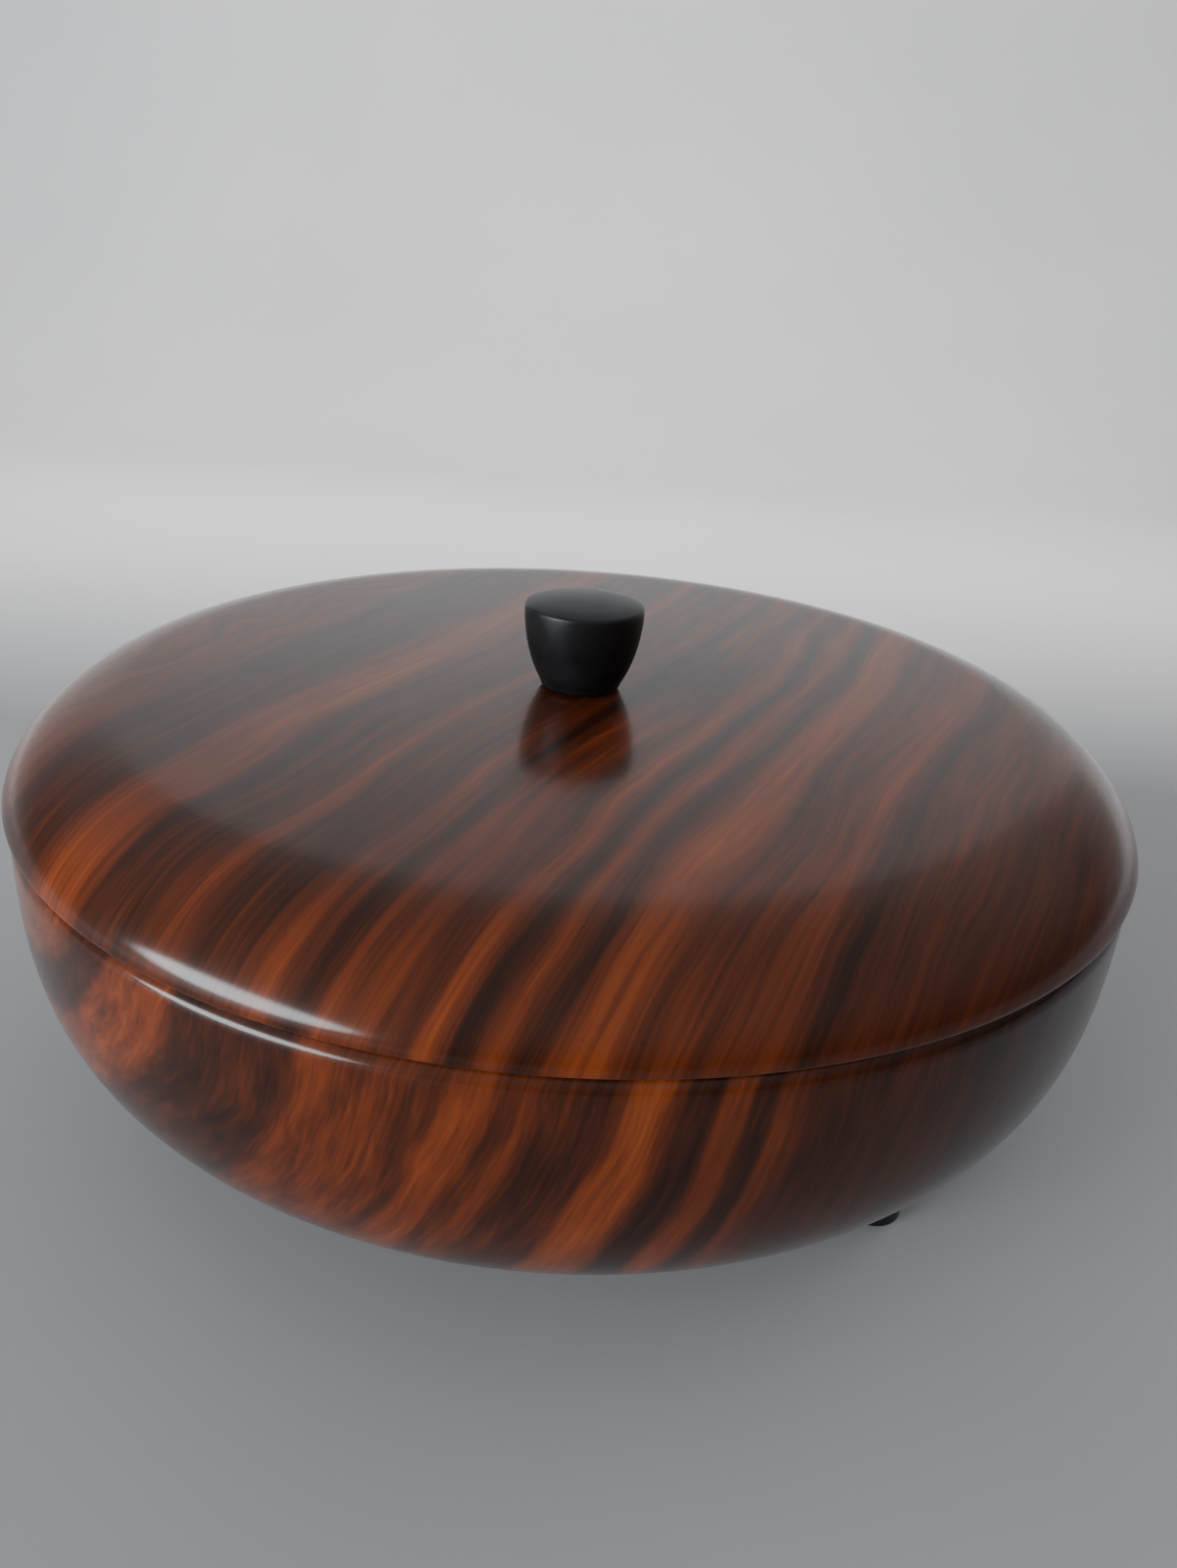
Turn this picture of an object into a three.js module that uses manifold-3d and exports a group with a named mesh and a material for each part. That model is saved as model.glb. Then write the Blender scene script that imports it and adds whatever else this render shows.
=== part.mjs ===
// Lidded wooden bowl on three pegs: a turned bowl, a lid with a spigot that drops inside the
// rim, and a black knob. Millimetres, +Z up. The origin is the point of the table under the
// bowl's centre; -Y is the front.

import * as THREE from 'three';
import { mergeVertices } from 'three/addons/utils/BufferGeometryUtils.js';
import Module from 'manifold-3d';

const wasm = await Module();
wasm.setup();

// ---------------------------------------------------------------- driving dimensions

// Bowl
const RIM_RADIUS = 129.2; // outside, at the rim
const BOWL_DEPTH = 75; // rim to the outside of the bottom
const BOWL_FULLNESS = 3.45; // exponent of the outline: 2 is an ellipse, more is boxier
const BOWL_WALL = 6.6;
const BOWL_FLOOR = 11;
const BOWL_LIP_ROUND = 4.8; // rounding of the rim's outer edge
const BOWL_INNER_EASE = 0.7; // rounding of the rim's inner edge
const TABLE_CLEARANCE = 12; // table to the underside of the bowl

// Lid
const LID_OVERHANG = 0.8; // how far the lid stands proud of the rim all round
const LID_SKIRT = 1.3; // height of the upright edge
const LID_RISE = 17.7; // seat to the inner end of the shoulder
const LID_DOME = 0.2; // rise from there to the middle
const LID_SHOULDER_WIDTH = 24;
const LID_SHOULDER_LEAN = 11; // degrees it leans in just above the upright edge
const LID_SHOULDER_STEEP = 0.3; // share of its height that it climbs steeply
const LID_SHOULDER_FLAT = 0.62; // share of its width that runs nearly flat
const LID_SHOULDER_DROP = 0.05; // share of its height that the flat part falls
const LID_THICKNESS = 8;
const LID_EDGE_ROUND = 0.9; // rounding of the lower outer edge
const LID_HOLLOW_WIDTH = 20; // width of the rounded corner inside the lid
const SPIGOT_DEPTH = 5;
const SPIGOT_THICKNESS = 4;
const SPIGOT_EASE = 0.8;

// Knob
const KNOB_HEIGHT = 20.2;
const KNOB_TOP_RADIUS = 14.1;
const KNOB_BASE_RADIUS = 9.7;
const KNOB_CROWN = 1.5; // how far the top swells above its edge
const KNOB_TOP_BEVEL = 0.9;
const KNOB_BASE_EASE = 1.4;
const KNOB_BELLY = 0.7; // 0 is a straight taper, 1 is a full cup
const INSERT_RADIUS = 3;
const INSERT_LENGTH = 9;

// Knob screw and washer
const KNOB_SCREW_RADIUS = 1.5;
const KNOB_SCREW_BITE = 7.5; // length inside the insert
const KNOB_SCREW_HEAD_RADIUS = 3;
const KNOB_SCREW_HEAD_HEIGHT = 2.2;
const WASHER_RADIUS = 5;
const WASHER_THICKNESS = 1;

// Feet
const FOOT_COUNT = 3;
const FOOT_FIRST_ANGLE = 53.5; // degrees from the front, towards +X
const FOOT_INSET = 34.7; // rim's outside to the middle of a foot
const FOOT_TOP_RADIUS = 8;
const FOOT_BOTTOM_RADIUS = 6.6;
const FOOT_BOTTOM_EASE = 0.7;
const FOOT_SOCKET_DEPTH = 0.8; // at the shallow side of the socket
const FOOT_GRIP = 8; // wood clamped between screw head and bowl
const FOOT_SCREW_RADIUS = 1.7;
const FOOT_SCREW_HEAD_RADIUS = 3.2;
const FOOT_SCREW_HEAD_HEIGHT = 2.4;
const FOOT_SCREW_COVER = 1.8; // wood left between the screw's tip and the inside of the bowl
const PAD_RADIUS = 4.8;
const PAD_RECESS = 1.3; // how deep the pad sits in the foot
const PAD_PROUD = 0.6; // how far it stands out below

// Clearances
const SEAT_GAP = 0.2; // lid to rim, and any other face that rests on another
const SPIGOT_CLEARANCE = 0.6; // spigot to the inside of the bowl, on the radius
const FIT_GAP = 0.15; // glued, pressed or threaded pieces, on the radius
const SCREW_CLEARANCE = 0.3; // a screw in a plain hole, on the radius
const HEAD_CLEARANCE = 0.4; // a screw head in its counterbore, on the radius

// Facets
const BODY_SEGMENTS = 48;
const SMALL_SEGMENTS = 24;
const SCREW_SEGMENTS = 16;

// ---------------------------------------------------------------- derived dimensions

const rimHeight = TABLE_CLEARANCE + BOWL_DEPTH;
const innerRadius = RIM_RADIUS - BOWL_WALL;
const innerDepth = BOWL_DEPTH - BOWL_FLOOR;
const lidRadius = RIM_RADIUS + LID_OVERHANG;
const lidSeat = rimHeight + SEAT_GAP;
const spigotOuter = innerRadius - SPIGOT_CLEARANCE;
const spigotInner = spigotOuter - SPIGOT_THICKNESS;
const lidTop = LID_RISE + LID_DOME;
const lidRoof = lidTop - LID_THICKNESS;
const knobScrewHole = KNOB_SCREW_RADIUS + SCREW_CLEARANCE;
const footCircle = RIM_RADIUS - FOOT_INSET;

// ---------------------------------------------------------------- materials

const wood = new THREE.MeshStandardMaterial({ color: 0x5a2a18, roughness: 0.25, metalness: 0 });
const black = new THREE.MeshStandardMaterial({ color: 0x111214, roughness: 0.35, metalness: 0 });
const brass = new THREE.MeshStandardMaterial({ color: 0xb08d4a, roughness: 0.35, metalness: 1 });
const steel = new THREE.MeshStandardMaterial({ color: 0x9da0a4, roughness: 0.3, metalness: 1 });
const felt = new THREE.MeshStandardMaterial({ color: 0x2a2a2c, roughness: 0.95, metalness: 0 });

// ---------------------------------------------------------------- helpers

// A solid of revolution about Z. The profile holds [radius, height] pairs and runs
// anticlockwise, with the material on its left.
function turned(profile, segments) {
  const points = profile.map(([r, z]) => new THREE.Vector2(r, z));
  return new THREE.LatheGeometry(points, segments).rotateX(Math.PI / 2);
}

// The same for a piece with a hole down its middle: the profile closes on itself.
function turnedRing(profile, segments) {
  return turned([...profile, profile[0]], segments);
}

// A quarter-round or other arc of a profile, in degrees anticlockwise from +radius.
function arc(centreRadius, centreHeight, radius, from, to, steps) {
  const points = [];
  for (let i = 0; i <= steps; i++) {
    const angle = THREE.MathUtils.degToRad(from + ((to - from) * i) / steps);
    points.push([centreRadius + radius * Math.cos(angle), centreHeight + radius * Math.sin(angle)]);
  }
  return points;
}

// A smooth stretch of a profile through a cubic curve's four control points.
function sweep(start, pullStart, pullEnd, end, steps) {
  const corners = [start, pullStart, pullEnd, end].map(([r, z]) => new THREE.Vector2(r, z));
  const curve = new THREE.CubicBezierCurve(...corners);
  return curve.getPoints(steps).map((point) => [point.x, point.y]);
}

// Depth below the rim of the rounded-box outline, at a radius.
function outlineDepth(radius, fullRadius, fullDepth) {
  const share = Math.pow(radius / fullRadius, BOWL_FULLNESS);
  return fullDepth * Math.pow(Math.max(1 - share, 0), 1 / BOWL_FULLNESS);
}

// The outline from the middle of the bottom up to a height just below the rim.
function outline(fullRadius, fullDepth, stopBelowRim, steps) {
  const lastSine = Math.pow(stopBelowRim / fullDepth, BOWL_FULLNESS / 2);
  const lastAngle = Math.asin(lastSine);
  const points = [];
  for (let i = 0; i <= steps; i++) {
    const angle = Math.PI / 2 + ((lastAngle - Math.PI / 2) * i) / steps;
    const radius = i === 0 ? 0 : fullRadius * Math.pow(Math.cos(angle), 2 / BOWL_FULLNESS);
    points.push([radius, rimHeight - fullDepth * Math.pow(Math.sin(angle), 2 / BOWL_FULLNESS)]);
  }
  return points;
}

function toSolid(geometry) {
  const bare = geometry.clone();
  bare.deleteAttribute('normal');
  bare.deleteAttribute('uv');
  const merged = mergeVertices(bare, 1e-4);
  const triVerts = [];
  const index = merged.index.array;
  for (let i = 0; i < index.length; i += 3) {
    const [a, b, c] = [index[i], index[i + 1], index[i + 2]];
    if (a !== b && b !== c && c !== a) {
      triVerts.push(a, b, c);
    }
  }
  const vertProperties = new Float32Array(merged.attributes.position.array);
  return new wasm.Manifold(
    new wasm.Mesh({ numProp: 3, vertProperties, triVerts: new Uint32Array(triVerts) }),
  );
}

function toGeometry(solid) {
  const mesh = solid.getMesh();
  const geometry = new THREE.BufferGeometry();
  geometry.setAttribute('position', new THREE.BufferAttribute(mesh.vertProperties, 3));
  geometry.setIndex(new THREE.BufferAttribute(mesh.triVerts, 1));
  geometry.computeVertexNormals();
  return geometry;
}

function cutAll(geometry, tools) {
  const solid = tools.reduce((rest, tool) => rest.subtract(toSolid(tool)), toSolid(geometry));
  return toGeometry(solid);
}

function rod(radius, low, high, segments) {
  return turned([[0, low], [radius, low], [radius, high], [0, high]], segments);
}

function named(name, geometry, material) {
  const mesh = new THREE.Mesh(geometry, material);
  mesh.name = name;
  return mesh;
}

// ---------------------------------------------------------------- feet: where they sit

function underside(radius) {
  return rimHeight - outlineDepth(radius, RIM_RADIUS, BOWL_DEPTH);
}

function insideFloor(radius) {
  return rimHeight - outlineDepth(radius, innerRadius, innerDepth);
}

const footSeat = underside(footCircle + FOOT_TOP_RADIUS) + FOOT_SOCKET_DEPTH;
const footTop = footSeat - SEAT_GAP;
const footScrewTip = insideFloor(footCircle) - FOOT_SCREW_COVER;
const footPlaces = [];
for (let i = 0; i < FOOT_COUNT; i++) {
  const angle = THREE.MathUtils.degToRad(FOOT_FIRST_ANGLE + (360 * i) / FOOT_COUNT);
  footPlaces.push([footCircle * Math.sin(angle), -footCircle * Math.cos(angle)]);
}

// ---------------------------------------------------------------- bowl

function makeBowl() {
  const outside = outline(RIM_RADIUS, BOWL_DEPTH, BOWL_LIP_ROUND, 15);
  const lipEdge = outside.at(-1)[0];
  const lip = arc(lipEdge - BOWL_LIP_ROUND, rimHeight - BOWL_LIP_ROUND, BOWL_LIP_ROUND, 0, 90, 4);
  const inside = outline(innerRadius, innerDepth, BOWL_INNER_EASE, 12).reverse();
  const easeEdge = inside[0][0] + BOWL_INNER_EASE;
  const ease = arc(easeEdge, rimHeight - BOWL_INNER_EASE, BOWL_INNER_EASE, 90, 180, 2);
  const profile = [...outside, ...lip.slice(1), ...ease.slice(0, -1), ...inside];

  const holes = [];
  for (const [x, y] of footPlaces) {
    const socket = rod(FOOT_TOP_RADIUS + FIT_GAP, 0, footSeat, SMALL_SEGMENTS);
    const pilotTop = footScrewTip + SEAT_GAP;
    const pilot = rod(FOOT_SCREW_RADIUS + FIT_GAP, 0, pilotTop, SCREW_SEGMENTS);
    holes.push(socket.translate(x, y, 0), pilot.translate(x, y, 0));
  }
  return named('bowl_body', cutAll(turned(profile, BODY_SEGMENTS), holes), wood);
}

// ---------------------------------------------------------------- lid

function makeLid() {
  const shoulderStart = lidRadius - LID_SHOULDER_WIDTH;
  const climb = LID_RISE - LID_SKIRT;
  const steepClimb = LID_SHOULDER_STEEP * climb;
  const lean = steepClimb * Math.tan(THREE.MathUtils.degToRad(LID_SHOULDER_LEAN));
  const edge = arc(lidRadius - LID_EDGE_ROUND, LID_EDGE_ROUND, LID_EDGE_ROUND, -90, 0, 3);
  const shoulder = sweep(
    [lidRadius, LID_SKIRT],
    [lidRadius - lean, LID_SKIRT + steepClimb],
    [shoulderStart + LID_SHOULDER_FLAT * LID_SHOULDER_WIDTH, LID_RISE - LID_SHOULDER_DROP * climb],
    [shoulderStart, LID_RISE],
    10,
  );
  const dome = sweep(
    [shoulderStart, LID_RISE],
    [0.7 * shoulderStart, LID_RISE + 0.5 * LID_DOME],
    [0.35 * shoulderStart, lidTop],
    [knobScrewHole, lidTop],
    6,
  );
  const roofEdge = lidRoof - LID_DOME;
  const hollowStart = spigotInner - LID_HOLLOW_WIDTH;
  const roof = [
    [knobScrewHole, lidRoof],
    [0.5 * hollowStart, lidRoof - 0.4 * LID_DOME],
  ];
  const hollow = sweep(
    [hollowStart, roofEdge],
    [spigotInner - 0.4 * LID_HOLLOW_WIDTH, roofEdge],
    [spigotInner, 0.8 * roofEdge],
    [spigotInner, 0],
    6,
  );
  const innerCorner = spigotInner + SPIGOT_EASE;
  const outerCorner = spigotOuter - SPIGOT_EASE;
  const cornerHeight = SPIGOT_EASE - SPIGOT_DEPTH;
  const profile = [
    ...roof,
    ...hollow,
    ...arc(innerCorner, cornerHeight, SPIGOT_EASE, 180, 270, 2),
    ...arc(outerCorner, cornerHeight, SPIGOT_EASE, -90, 0, 2),
    [spigotOuter, 0],
    ...edge,
    ...shoulder,
    ...dome.slice(1),
  ];
  return named('lid', turnedRing(profile, BODY_SEGMENTS), wood);
}

// ---------------------------------------------------------------- knob and its screw

function makeKnob() {
  const bore = INSERT_RADIUS + FIT_GAP;
  const boreDepth = INSERT_LENGTH + SEAT_GAP;
  const sideTop = KNOB_HEIGHT - KNOB_TOP_BEVEL;
  const flare = KNOB_TOP_RADIUS - KNOB_BASE_RADIUS;
  const side = sweep(
    [KNOB_BASE_RADIUS, KNOB_BASE_EASE],
    [KNOB_BASE_RADIUS + (0.33 + 0.4 * KNOB_BELLY) * flare, 0.3 * sideTop],
    [KNOB_TOP_RADIUS - (0.33 - 0.5 * KNOB_BELLY) * flare, 0.66 * sideTop],
    [KNOB_TOP_RADIUS, sideTop],
    7,
  );
  const bevelCentre = KNOB_TOP_RADIUS - KNOB_TOP_BEVEL;
  const crown = [0.6, 0.3, 0].map((share) => [
    share * KNOB_TOP_RADIUS,
    KNOB_HEIGHT + KNOB_CROWN * (1 - share * share),
  ]);
  const profile = [
    [0, boreDepth],
    [bore, boreDepth],
    [bore, 0],
    ...arc(KNOB_BASE_RADIUS - KNOB_BASE_EASE, KNOB_BASE_EASE, KNOB_BASE_EASE, -90, -15, 3),
    ...side,
    ...arc(bevelCentre, sideTop, KNOB_TOP_BEVEL, 0, 70, 2).slice(1),
    ...crown,
  ];
  return named('knob', turned(profile, SMALL_SEGMENTS + 8), black);
}

function makeInsert() {
  const bore = KNOB_SCREW_RADIUS + FIT_GAP;
  const groove = 0.4;
  const bands = 3;
  const profile = [[bore, 0], [INSERT_RADIUS, 0]];
  for (let i = 1; i <= bands; i++) {
    const middle = (i * INSERT_LENGTH) / (bands + 1);
    profile.push([INSERT_RADIUS, middle - groove]);
    profile.push([INSERT_RADIUS - groove, middle]);
    profile.push([INSERT_RADIUS, middle + groove]);
  }
  profile.push([INSERT_RADIUS, INSERT_LENGTH], [bore, INSERT_LENGTH]);
  return named('knob_insert', turnedRing(profile, SMALL_SEGMENTS), brass);
}

// A slotted screw standing on its head: the head's flat underside is at height 0 and the
// thread points up, with its tip at the given length.
function screwGeometry(radius, length, threadLength, headRadius, headHeight) {
  const slotWidth = 0.3 * headRadius;
  const slotDepth = 0.45 * headHeight;
  const pitch = 1.4;
  const threadDepth = 0.18 * radius;
  const profile = [
    [0, -headHeight],
    [0.62 * headRadius, -0.94 * headHeight],
    [0.92 * headRadius, -0.6 * headHeight],
    [headRadius, 0],
    [radius, 0],
  ];
  const tip = length - radius;
  for (let z = length - threadLength; z + pitch < tip; z += pitch) {
    profile.push([radius, z], [radius - threadDepth, z + 0.5 * pitch]);
  }
  profile.push([radius, tip], [0.4 * radius, length], [0, length]);
  const slot = new THREE.BoxGeometry(slotWidth, 3 * headRadius, 2 * slotDepth);
  slot.translate(0, 0, -headHeight);
  return cutAll(turned(profile, SCREW_SEGMENTS), [slot]);
}

function makeKnobScrew() {
  const grip = WASHER_THICKNESS + 3 * SEAT_GAP + LID_THICKNESS;
  const length = grip + KNOB_SCREW_BITE;
  const geometry = screwGeometry(
    KNOB_SCREW_RADIUS, length, KNOB_SCREW_BITE + 2, KNOB_SCREW_HEAD_RADIUS, KNOB_SCREW_HEAD_HEIGHT,
  );
  return named('knob_screw', geometry, steel);
}

function makeWasher() {
  const profile = [
    [knobScrewHole, 0],
    [WASHER_RADIUS, 0],
    [WASHER_RADIUS, WASHER_THICKNESS],
    [knobScrewHole, WASHER_THICKNESS],
  ];
  return named('knob_washer', turnedRing(profile, SMALL_SEGMENTS), steel);
}

// ---------------------------------------------------------------- feet

const footScrewSeat = footTop - FOOT_GRIP;

function makeFoot(number) {
  const padHole = PAD_RADIUS + FIT_GAP;
  const recessTop = PAD_PROUD + PAD_RECESS;
  const counterbore = FOOT_SCREW_HEAD_RADIUS + HEAD_CLEARANCE;
  const hole = FOOT_SCREW_RADIUS + SCREW_CLEARANCE;
  const easeCentre = FOOT_BOTTOM_RADIUS - FOOT_BOTTOM_EASE;
  const profile = [
    [padHole, PAD_PROUD],
    ...arc(easeCentre, PAD_PROUD + FOOT_BOTTOM_EASE, FOOT_BOTTOM_EASE, -90, 0, 3),
    [FOOT_TOP_RADIUS, footTop],
    [hole, footTop],
    [hole, footScrewSeat],
    [counterbore, footScrewSeat],
    [counterbore, recessTop],
    [padHole, recessTop],
  ];
  return named(`foot_${number}`, turnedRing(profile, SMALL_SEGMENTS), black);
}

function makeFootScrew(number) {
  const seat = footScrewSeat - SEAT_GAP;
  const length = footScrewTip - seat;
  const bite = footScrewTip - footSeat;
  const geometry = screwGeometry(
    FOOT_SCREW_RADIUS, length, bite, FOOT_SCREW_HEAD_RADIUS, FOOT_SCREW_HEAD_HEIGHT,
  );
  return named(`foot_screw_${number}`, geometry.translate(0, 0, seat), steel);
}

function makePad(number) {
  const top = PAD_PROUD + PAD_RECESS - SEAT_GAP;
  return named(`foot_pad_${number}`, rod(PAD_RADIUS, 0, top, SMALL_SEGMENTS), felt);
}

// ---------------------------------------------------------------- assembly

const lidGroup = new THREE.Group();
lidGroup.position.z = lidSeat;
lidGroup.add(makeLid());

const knob = makeKnob();
knob.position.z = lidTop + SEAT_GAP;
const insert = makeInsert();
insert.position.z = knob.position.z;
const washer = makeWasher();
washer.position.z = lidRoof - SEAT_GAP - WASHER_THICKNESS;
const knobScrew = makeKnobScrew();
knobScrew.position.z = washer.position.z - SEAT_GAP;
lidGroup.add(knob, insert, washer, knobScrew);

const liddedBowl = new THREE.Group();
liddedBowl.add(makeBowl(), lidGroup);

footPlaces.forEach(([x, y], index) => {
  const number = index + 1;
  const foot = new THREE.Group();
  foot.position.set(x, y, 0);
  foot.add(makeFoot(number), makeFootScrew(number), makePad(number));
  liddedBowl.add(foot);
});

export default liddedBowl;
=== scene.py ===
# %% [markdown]
# # A lidded rosewood bowl
#
# This lesson builds the looks of a turned wooden bowl with a lid, a black knob and three
# peg feet. The imported model already fixes every size and place. Here each piece gets a
# smooth surface, and each finish gets its own material.

# %% Load the imported model
import math

import bmesh
import bpy
from mathutils import Matrix, Vector


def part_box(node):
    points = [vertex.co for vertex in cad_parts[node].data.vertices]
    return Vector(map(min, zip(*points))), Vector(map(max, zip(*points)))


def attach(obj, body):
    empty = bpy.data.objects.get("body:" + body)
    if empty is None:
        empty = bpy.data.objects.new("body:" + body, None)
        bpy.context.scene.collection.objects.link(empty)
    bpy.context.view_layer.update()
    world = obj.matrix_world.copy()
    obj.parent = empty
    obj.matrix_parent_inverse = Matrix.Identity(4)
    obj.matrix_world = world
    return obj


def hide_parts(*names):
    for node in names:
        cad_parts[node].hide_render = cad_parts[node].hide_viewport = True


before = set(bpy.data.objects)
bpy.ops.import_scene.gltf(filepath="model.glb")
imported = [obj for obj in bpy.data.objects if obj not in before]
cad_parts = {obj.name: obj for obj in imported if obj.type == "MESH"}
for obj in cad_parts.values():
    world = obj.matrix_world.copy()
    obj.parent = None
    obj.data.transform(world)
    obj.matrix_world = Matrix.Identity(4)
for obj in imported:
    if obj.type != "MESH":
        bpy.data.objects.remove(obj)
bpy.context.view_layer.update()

# %% [markdown]
# ## The camera
#
# The bowl is seen from close by and a little above, with a wide lens, so its far side looks
# much smaller than its near side. Distances are counted in lid radii, which keeps the view
# the same if the bowl is made larger. The camera is also turned a few degrees about its own
# line of sight, because a hand-held camera is rarely level.

# %% Measure the bowl and set the camera
MM = 0.001

lid_low, lid_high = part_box("lid")
bowl_low, bowl_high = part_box("bowl_body")
LID_RADIUS = lid_high.x
RIM_RADIUS = bowl_high.x
RIM_HEIGHT = bowl_high.z

CAMERA_BACK = 2.235  # lid radii in front of the middle
CAMERA_ABOVE_RIM = 0.94  # lid radii above the seam
CAMERA_PITCH = 24.16  # degrees below level
CAMERA_ROLL = 3.76
LENS_MM = 29.3
SHIFT_X = 0.0097

camera_data = bpy.data.cameras.new("camera")
camera_data.lens = LENS_MM
camera_data.shift_x = SHIFT_X
camera_data.clip_start = 0.01
camera = bpy.data.objects.new("camera", camera_data)
bpy.context.collection.objects.link(camera)
tilt = Matrix.Rotation(math.radians(90 - CAMERA_PITCH), 4, "X")
roll = Matrix.Rotation(math.radians(CAMERA_ROLL), 4, "Z")
place = Vector((0, -CAMERA_BACK * LID_RADIUS, RIM_HEIGHT + CAMERA_ABOVE_RIM * LID_RADIUS))
camera.matrix_world = Matrix.Translation(place) @ tilt @ roll
bpy.context.scene.camera = camera
print("camera at", [round(v, 3) for v in place])

# %% [markdown]
# ## Turning on a lathe
#
# Every piece of this bowl comes off a lathe, so one helper makes them all. It takes half of
# the section as a list of radius and height, and sweeps it round an upright axis. A point on
# the axis becomes a single vertex, which keeps the middle of a disc clean. The section runs
# anticlockwise with the material on its left, and then every face points outwards. A section
# that closes on itself makes a piece with a hole down its middle.
#
# Smooth shading hides the facets, and the corners that a maker would leave crisp are marked
# sharp by their angle.

# %% The lathe helper
TURNS = 256
SMALL_TURNS = 96
ON_AXIS = 1e-7  # a radius smaller than this is the axis itself
CRISP_ANGLE = math.radians(32)


def turned(name, section, turns=TURNS, closed=False, centre=(0, 0)):
    mesh = bmesh.new()
    rings = []
    for radius, height in section:
        if radius < ON_AXIS:
            rings.append([mesh.verts.new((centre[0], centre[1], height))])
            continue
        ring = []
        for i in range(turns):
            angle = 2 * math.pi * i / turns
            x = centre[0] + radius * math.cos(angle)
            y = centre[1] + radius * math.sin(angle)
            ring.append(mesh.verts.new((x, y, height)))
        rings.append(ring)
    pairs = list(zip(rings, rings[1:]))
    if closed:
        pairs.append((rings[-1], rings[0]))
    for lower, upper in pairs:
        for i in range(turns):
            j = (i + 1) % turns
            if len(lower) == 1:
                mesh.faces.new((lower[0], upper[j], upper[i]))
            elif len(upper) == 1:
                mesh.faces.new((lower[i], lower[j], upper[0]))
            else:
                mesh.faces.new((lower[i], lower[j], upper[j], upper[i]))
    data = bpy.data.meshes.new(name)
    mesh.to_mesh(data)
    mesh.free()
    data.shade_smooth()
    data.set_sharp_from_angle(angle=CRISP_ANGLE)
    piece = bpy.data.objects.new(name, data)
    bpy.context.collection.objects.link(piece)
    return piece


# %% [markdown]
# A section needs only two kinds of curve: an arc for an eased edge, and a pulled curve with
# four handles for a longer sweep. `raised` lifts a section from its own zero to its height on
# the bowl, so each section can be written from the face that the piece stands on.

# %% Curves for the sections
def arc(radius_at, height_at, size, start, end, steps=8):
    points = []
    for i in range(steps + 1):
        angle = math.radians(start + (end - start) * i / steps)
        across = radius_at + size * math.cos(angle)
        up = height_at + size * math.sin(angle)
        points.append((across, up))
    return points


def sweep(start, pull_start, pull_end, end, steps=16):
    points = []
    for i in range(steps + 1):
        t = i / steps
        weights = ((1 - t) ** 3, 3 * t * (1 - t) ** 2, 3 * t * t * (1 - t), t**3)
        corners = (start, pull_start, pull_end, end)
        points.append(tuple(sum(w * c[k] for w, c in zip(weights, corners)) for k in (0, 1)))
    return points


def raised(points, height):
    return [(radius, height + z) for radius, z in points]


# %% [markdown]
# Some pieces are cut after turning: the bowl has a shallow socket and a pilot hole for each
# foot, and each screw has a slot. A boolean modifier makes the cut. Its result is kept as a
# plain mesh, so that nothing has to be worked out again later, and the cutting tools are
# thrown away.

# %% The cutting helper
def cut(piece, tools):
    for tool in tools:
        change = piece.modifiers.new("cut", "BOOLEAN")
        change.operation = "DIFFERENCE"
        change.solver = "EXACT"
        change.object = tool
    shown = piece.evaluated_get(bpy.context.evaluated_depsgraph_get())
    data = bpy.data.meshes.new_from_object(shown)
    piece.modifiers.clear()
    piece.data = data
    data.name = piece.name
    data.shade_smooth()
    data.set_sharp_from_angle(angle=CRISP_ANGLE)
    for tool in tools:
        bpy.data.objects.remove(tool)


def rod(radius, low, high, centre):
    section = [(0, low), (radius, low), (radius, high), (0, high)]
    return turned("rod", section, SMALL_TURNS, centre=centre)


# %% [markdown]
# ## Shader arithmetic
#
# A material is easier to read as sums than as a web of nodes. `Wire` wraps one socket. When
# two wires, or a wire and a number, are added or multiplied, a Math node is made behind the
# scenes and the result is a new wire. The reflected forms let a number stand first, as in
# `1 - mask`.

# %% The wire class
class Wire:
    def __init__(self, nodes, socket):
        self.nodes = nodes
        self.socket = socket

    def __add__(self, other):
        return self.nodes.math("ADD", self, other)

    def __radd__(self, other):
        return self.nodes.math("ADD", other, self)

    def __sub__(self, other):
        return self.nodes.math("SUBTRACT", self, other)

    def __rsub__(self, other):
        return self.nodes.math("SUBTRACT", other, self)

    def __mul__(self, other):
        return self.nodes.math("MULTIPLY", self, other)

    def __rmul__(self, other):
        return self.nodes.math("MULTIPLY", other, self)

    def __truediv__(self, other):
        return self.nodes.math("DIVIDE", self, other)

    def __pow__(self, other):
        return self.nodes.math("POWER", self, other)


# %% [markdown]
# `Nodes` works on one tree of nodes. Its `node` method makes any node: the settings come first,
# because some of them change which sockets there are, and then each socket gets a value or a
# wire. The other methods are short names for what the finishes here need: noise, a ramp from
# one number to a tone or a colour, and the place of a point in millimetres.

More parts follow.
